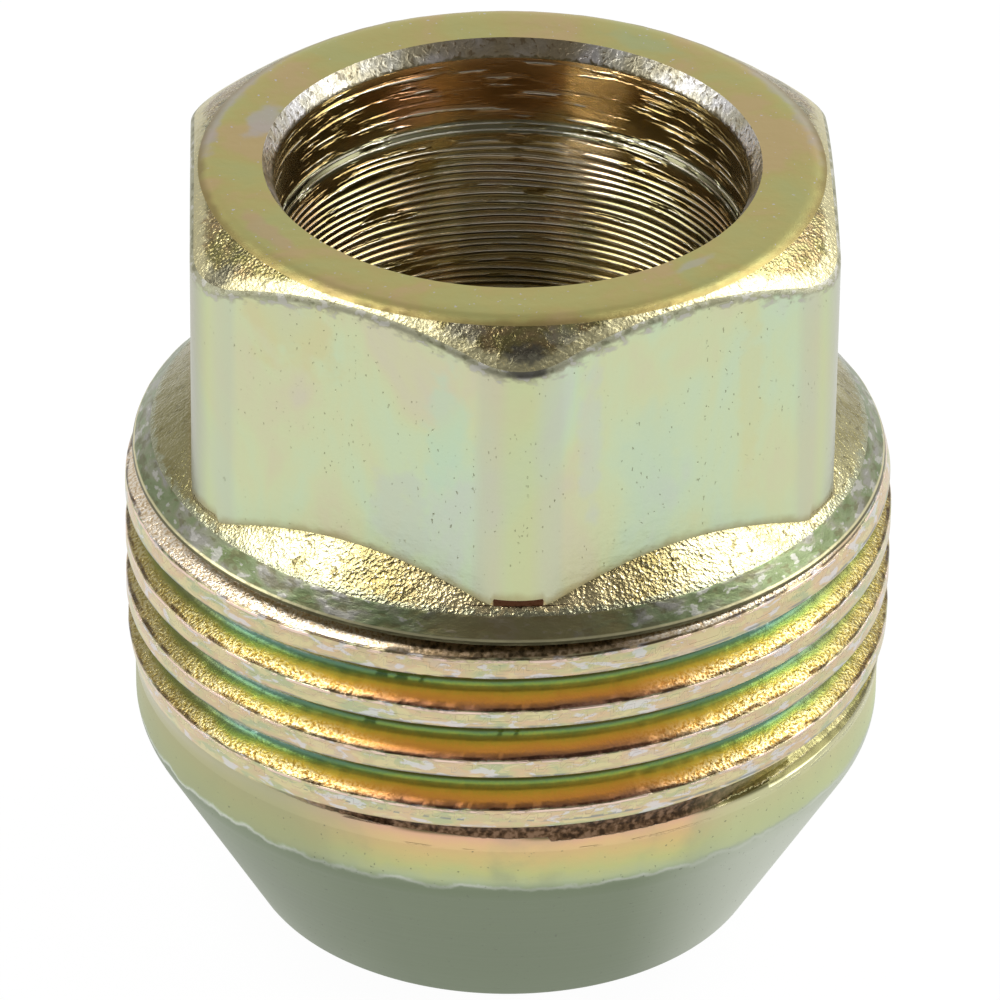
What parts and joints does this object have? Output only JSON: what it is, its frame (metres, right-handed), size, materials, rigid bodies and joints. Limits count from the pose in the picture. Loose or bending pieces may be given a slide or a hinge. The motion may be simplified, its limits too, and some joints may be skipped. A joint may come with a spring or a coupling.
{
  "type": "lug nut",
  "caption": "Wheel nut with a hexagon head, a conical seat, an open stepped bore and an outer thread for a screw-on cap, in yellow chromated zinc plate.",
  "frame": {"origin": "on the nut's axis, in the plane of the small end face below the conical seat", "axes": "+Z along the axis, from the conical seat's small end to the hexagon's end face; a corner of the hexagon points along -Y, and the flats on +X and -X are square to X"},
  "size_m": [0.0266, 0.0266, 0.0285],
  "materials": {
    "yellow_zinc_steel": "steel, zinc plated with a yellow iridescent chromate, satin on the flats and rough on the sheared faces"
  },
  "bodies": {
    "root": {"lug_nut": "yellow_zinc_steel"}
  },
  "joints": []
}
